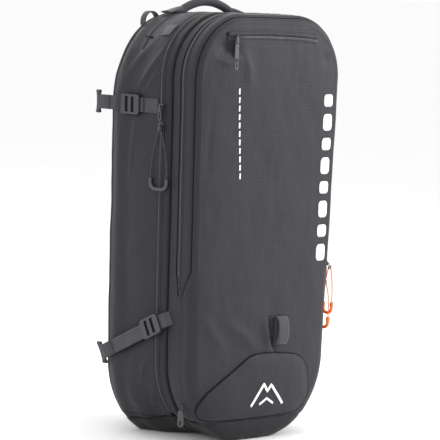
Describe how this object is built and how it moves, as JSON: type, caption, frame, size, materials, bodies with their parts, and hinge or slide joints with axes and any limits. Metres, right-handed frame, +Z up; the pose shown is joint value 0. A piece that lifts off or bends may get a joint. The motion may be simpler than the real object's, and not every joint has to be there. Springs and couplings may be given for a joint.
{
  "type": "avalanche airbag backpack",
  "caption": "Zipped charcoal touring backpack with a folded airbag, blower, compression straps, carry handle, front tool pocket, harness and pull handle.",
  "frame": {"origin": "on the back panel's contact plane, where the pack rests on the wearer's back, on the centre line at the bag's base", "axes": "+Z up as worn, -Y towards the outer front of the pack, +Y towards the wearer, +X to the right of someone who looks at the front"},
  "size_m": [0.3122, 0.2548, 0.6215],
  "materials": {
    "shell_fabric": "padded charcoal ripstop",
    "side_fabric": "charcoal ripstop with a slight sheen",
    "base_fabric": "dark coated weave",
    "lining_fabric": "thin lining",
    "padding_foam": "moulded foam under spacer mesh",
    "webbing": "woven polyester webbing",
    "rubberised_patch": "embossed rubberised sheet",
    "zip_tape": "coil zip on coated tape",
    "zip_metal": "black painted slider",
    "pull_plastic": "moulded pull",
    "pull_orange": "moulded safety-orange pull",
    "cord_dark": "braided cord",
    "cord_orange": "braided safety-orange cord",
    "buckle_plastic": "black acetal",
    "frame_sheet": "polyethylene sheet with stays",
    "airbag_cloth": "folded coated nylon",
    "system_plastic": "glass-filled nylon",
    "motor_steel": "motor can",
    "button_plastic": "lit push button",
    "cable_steel": "black sheathed cable",
    "trigger_orange": "moulded grip"
  },
  "bodies": {
    "bag": {"airbag_pack": "airbag_cloth", "airbag_seam": "zip_tape", "back_frame": "frame_sheet", "back_padding": "padding_foam", "base_panel": "base_fabric", "blower_cover": "system_plastic", "blower_housing": "system_plastic", "blower_motor": "motor_steel", "control_unit": "system_plastic", "energy_unit": "system_plastic", "left_side_panel": "side_fabric", "right_side_panel": "side_fabric", "top_panel": "side_fabric", "rear_panel": "side_fabric", "main_zip": "zip_tape", "sewn_webbing": "webbing", "system_divider": "lining_fabric", "trigger_cable_inner": "cable_steel"},
    "front_cover": {"front_gusset": "side_fabric", "cover_divider": "lining_fabric", "lower_front_panel": "shell_fabric", "ski_pocket": "rubberised_patch", "ice_axe_loop": "webbing", "tool_zip": "zip_tape"},
    "tool_flap": {"tool_flap": "shell_fabric", "goggle_pocket": "lining_fabric"},
    "main_slider_upper": {"main_slider_upper": "zip_metal"},
    "main_pull_tab": {"main_pull_tab": "pull_plastic"},
    "main_slider_lower": {"main_slider_lower": "zip_metal"},
    "main_pull": {"main_pull_grip": "pull_plastic", "main_pull_cord": "cord_dark"},
    "base_pull_tab": {"base_pull_tab": "pull_plastic"},
    "tool_slider_upper": {"tool_slider_upper": "zip_metal"},
    "tool_pull_upper": {"tool_pull_upper": "pull_orange", "tool_pull_cord_upper": "cord_orange"},
    "tool_slider_lower": {"tool_slider_lower": "zip_metal"},
    "tool_pull_lower": {"tool_pull_lower": "pull_orange", "tool_pull_cord_lower": "cord_orange"},
    "goggle_slider": {"goggle_slider": "zip_metal"},
    "goggle_pull_tab": {"goggle_pull_tab": "pull_plastic"},
    "carry_handle": {"carry_handle": "webbing"},
    "left_shoulder_strap": {"left_shoulder_strap": "padding_foam", "trigger_sleeve": "webbing", "trigger_cable_strap": "cable_steel"},
    "right_shoulder_strap": {"right_shoulder_strap": "padding_foam"},
    "left_sternum_strap": {"left_sternum_strap": "webbing"},
    "right_sternum_strap": {"right_sternum_strap": "webbing"},
    "left_hip_belt": {"left_hip_belt": "padding_foam"},
    "right_hip_belt": {"right_hip_belt": "padding_foam"},
    "trigger_handle": {"trigger_handle": "trigger_orange"},
    "impeller": {"impeller": "system_plastic"},
    "power_button": {"power_button": "button_plastic"},
    "left_upper_strap": {"left_upper_strap": "webbing"},
    "left_upper_ladder_lock": {"left_upper_ladder_lock": "buckle_plastic"},
    "left_lower_strap": {"left_lower_strap": "webbing"},
    "left_lower_ladder_lock": {"left_lower_ladder_lock": "buckle_plastic"},
    "right_upper_strap": {"right_upper_strap": "webbing"},
    "right_upper_ladder_lock": {"right_upper_ladder_lock": "buckle_plastic"},
    "right_lower_strap": {"right_lower_strap": "webbing"},
    "right_lower_ladder_lock": {"right_lower_ladder_lock": "buckle_plastic"}
  },
  "joints": [
    {"name": "cover_fold", "type": "hinge", "parent": "bag", "child": "front_cover", "pos_m": [0, -0.186, 0.03], "axis": [1, 0, 0], "range_deg": [0, 100]},
    {"name": "flap_fold", "type": "hinge", "parent": "front_cover", "child": "tool_flap", "pos_m": [0, -0.186, 0.202], "axis": [1, 0, 0], "range_deg": [0, 110]},
    {"name": "main_slider_upper_slide", "type": "slide", "parent": "bag", "child": "main_slider_upper", "axis": [-0.0233, 0, 0.9997], "range_m": [0, 0.018]},
    {"name": "main_slider_lower_slide", "type": "slide", "parent": "bag", "child": "main_slider_lower", "axis": [-0.0233, 0, 0.9997], "range_m": [-0.15, 0]},
    {"name": "tool_slider_upper_slide", "type": "slide", "parent": "front_cover", "child": "tool_slider_upper", "axis": [0.0233, 0, 0.9997], "range_m": [0, 0.22]},
    {"name": "tool_slider_lower_slide", "type": "slide", "parent": "front_cover", "child": "tool_slider_lower", "axis": [0.0233, 0, 0.9997], "range_m": [-0.01, 0]},
    {"name": "goggle_slider_slide", "type": "slide", "parent": "tool_flap", "child": "goggle_slider", "axis": [1, 0, 0], "range_m": [0, 0.155]},
    {"name": "main_pull_tab_swing", "type": "hinge", "parent": "main_slider_upper", "child": "main_pull_tab", "pos_m": [-0.15127, -0.1196, 0.46587], "axis": [0, 1, 0], "range_deg": [0, 85]},
    {"name": "main_pull_swing", "type": "hinge", "parent": "main_slider_lower", "child": "main_pull", "pos_m": [-0.15066, -0.1196, 0.43987], "axis": [0, 1, 0], "range_deg": [0, 50]},
    {"name": "tool_pull_upper_swing", "type": "hinge", "parent": "tool_slider_upper", "child": "tool_pull_upper", "pos_m": [0.14642, -0.162, 0.25787], "axis": [0, -1, 0], "range_deg": [0, 60]},
    {"name": "tool_pull_lower_swing", "type": "hinge", "parent": "tool_slider_lower", "child": "tool_pull_lower", "pos_m": [0.146, -0.162, 0.23987], "axis": [0, -1, 0], "range_deg": [0, 60]},
    {"name": "base_pull_tab_swing", "type": "hinge", "parent": "front_cover", "child": "base_pull_tab", "pos_m": [-0.12472, -0.158, 0.05316], "axis": [0, 1, 0], "range_deg": [0, 80]},
    {"name": "goggle_pull_tab_swing", "type": "hinge", "parent": "goggle_slider", "child": "goggle_pull_tab", "pos_m": [-0.078, -0.1914, 0.566], "axis": [-1, 0, 0], "range_deg": [0, 80]},
    {"name": "left_upper_strap_swing", "type": "hinge", "parent": "bag", "child": "left_upper_strap", "pos_m": [-0.14894, -0.084, 0.46893], "axis": [0, 0, 1], "range_deg": [0, 80]},
    {"name": "left_lower_strap_swing", "type": "hinge", "parent": "front_cover", "child": "left_lower_strap", "pos_m": [-0.14651, -0.137, 0.17183], "axis": [-0.021, 0.4384, 0.8985], "range_deg": [0, 80]},
    {"name": "left_upper_ladder_lock_tilt", "type": "hinge", "parent": "left_upper_strap", "child": "left_upper_ladder_lock", "pos_m": [-0.15004, -0.078, 0.4689], "axis": [0, 0, 1], "range_deg": [0, 25]},
    {"name": "left_lower_ladder_lock_tilt", "type": "hinge", "parent": "left_lower_strap", "child": "left_lower_ladder_lock", "pos_m": [-0.14755, -0.13161, 0.16917], "axis": [-0.021, 0.4384, 0.8985], "range_deg": [0, 25]},
    {"name": "left_shoulder_strap_swing", "type": "hinge", "parent": "bag", "child": "left_shoulder_strap", "pos_m": [-0.045, 0.001, 0.488], "axis": [1, 0, 0], "range_deg": [0, 20]},
    {"name": "left_sternum_strap_slide", "type": "slide", "parent": "left_shoulder_strap", "child": "left_sternum_strap", "axis": [0, 0, 1], "range_m": [-0.025, 0.02]},
    {"name": "left_hip_belt_wrap", "type": "hinge", "parent": "bag", "child": "left_hip_belt", "pos_m": [-0.092, 0.0015, 0.11], "axis": [0, 0, 1], "range_deg": [0, 70]},
    {"name": "right_upper_strap_swing", "type": "hinge", "parent": "bag", "child": "right_upper_strap", "pos_m": [0.14894, -0.084, 0.46893], "axis": [0, 0, -1], "range_deg": [0, 80]},
    {"name": "right_lower_strap_swing", "type": "hinge", "parent": "front_cover", "child": "right_lower_strap", "pos_m": [0.14651, -0.137, 0.17183], "axis": [-0.021, -0.4384, -0.8985], "range_deg": [0, 80]},
    {"name": "right_upper_ladder_lock_tilt", "type": "hinge", "parent": "right_upper_strap", "child": "right_upper_ladder_lock", "pos_m": [0.15004, -0.078, 0.4689], "axis": [0, 0, -1], "range_deg": [0, 25]},
    {"name": "right_lower_ladder_lock_tilt", "type": "hinge", "parent": "right_lower_strap", "child": "right_lower_ladder_lock", "pos_m": [0.14755, -0.13161, 0.16917], "axis": [-0.021, -0.4384, -0.8985], "range_deg": [0, 25]},
    {"name": "right_shoulder_strap_swing", "type": "hinge", "parent": "bag", "child": "right_shoulder_strap", "pos_m": [0.045, 0.001, 0.488], "axis": [1, 0, 0], "range_deg": [0, 20]},
    {"name": "right_sternum_strap_slide", "type": "slide", "parent": "right_shoulder_strap", "child": "right_sternum_strap", "axis": [0, 0, 1], "range_m": [-0.025, 0.02]},
    {"name": "right_hip_belt_wrap", "type": "hinge", "parent": "bag", "child": "right_hip_belt", "pos_m": [0.092, 0.0015, 0.11], "axis": [0, 0, -1], "range_deg": [0, 70]},
    {"name": "carry_handle_tilt", "type": "hinge", "parent": "bag", "child": "carry_handle", "pos_m": [0, -0.05, 0.599], "axis": [1, 0, 0], "range_deg": [-20, 20], "stiffness_Nm_per_rad": 0.2},
    {"name": "trigger_pull", "type": "slide", "parent": "left_shoulder_strap", "child": "trigger_handle", "axis": [0, 0, -1], "range_m": [0, 0.03]},
    {"name": "impeller_spin", "type": "hinge", "parent": "bag", "child": "impeller", "pos_m": [0, -0.048, 0.424], "axis": [0, 1, 0], "continuous": true},
    {"name": "power_button_press", "type": "slide", "parent": "bag", "child": "power_button", "axis": [0, 1, 0], "range_m": [0, 0.0015], "stiffness_N_per_m": 300}
  ],
  "couplings": [
    {"joint": "tool_pull_upper_swing", "follows": "tool_pull_lower_swing", "ratio": 1}
  ]
}
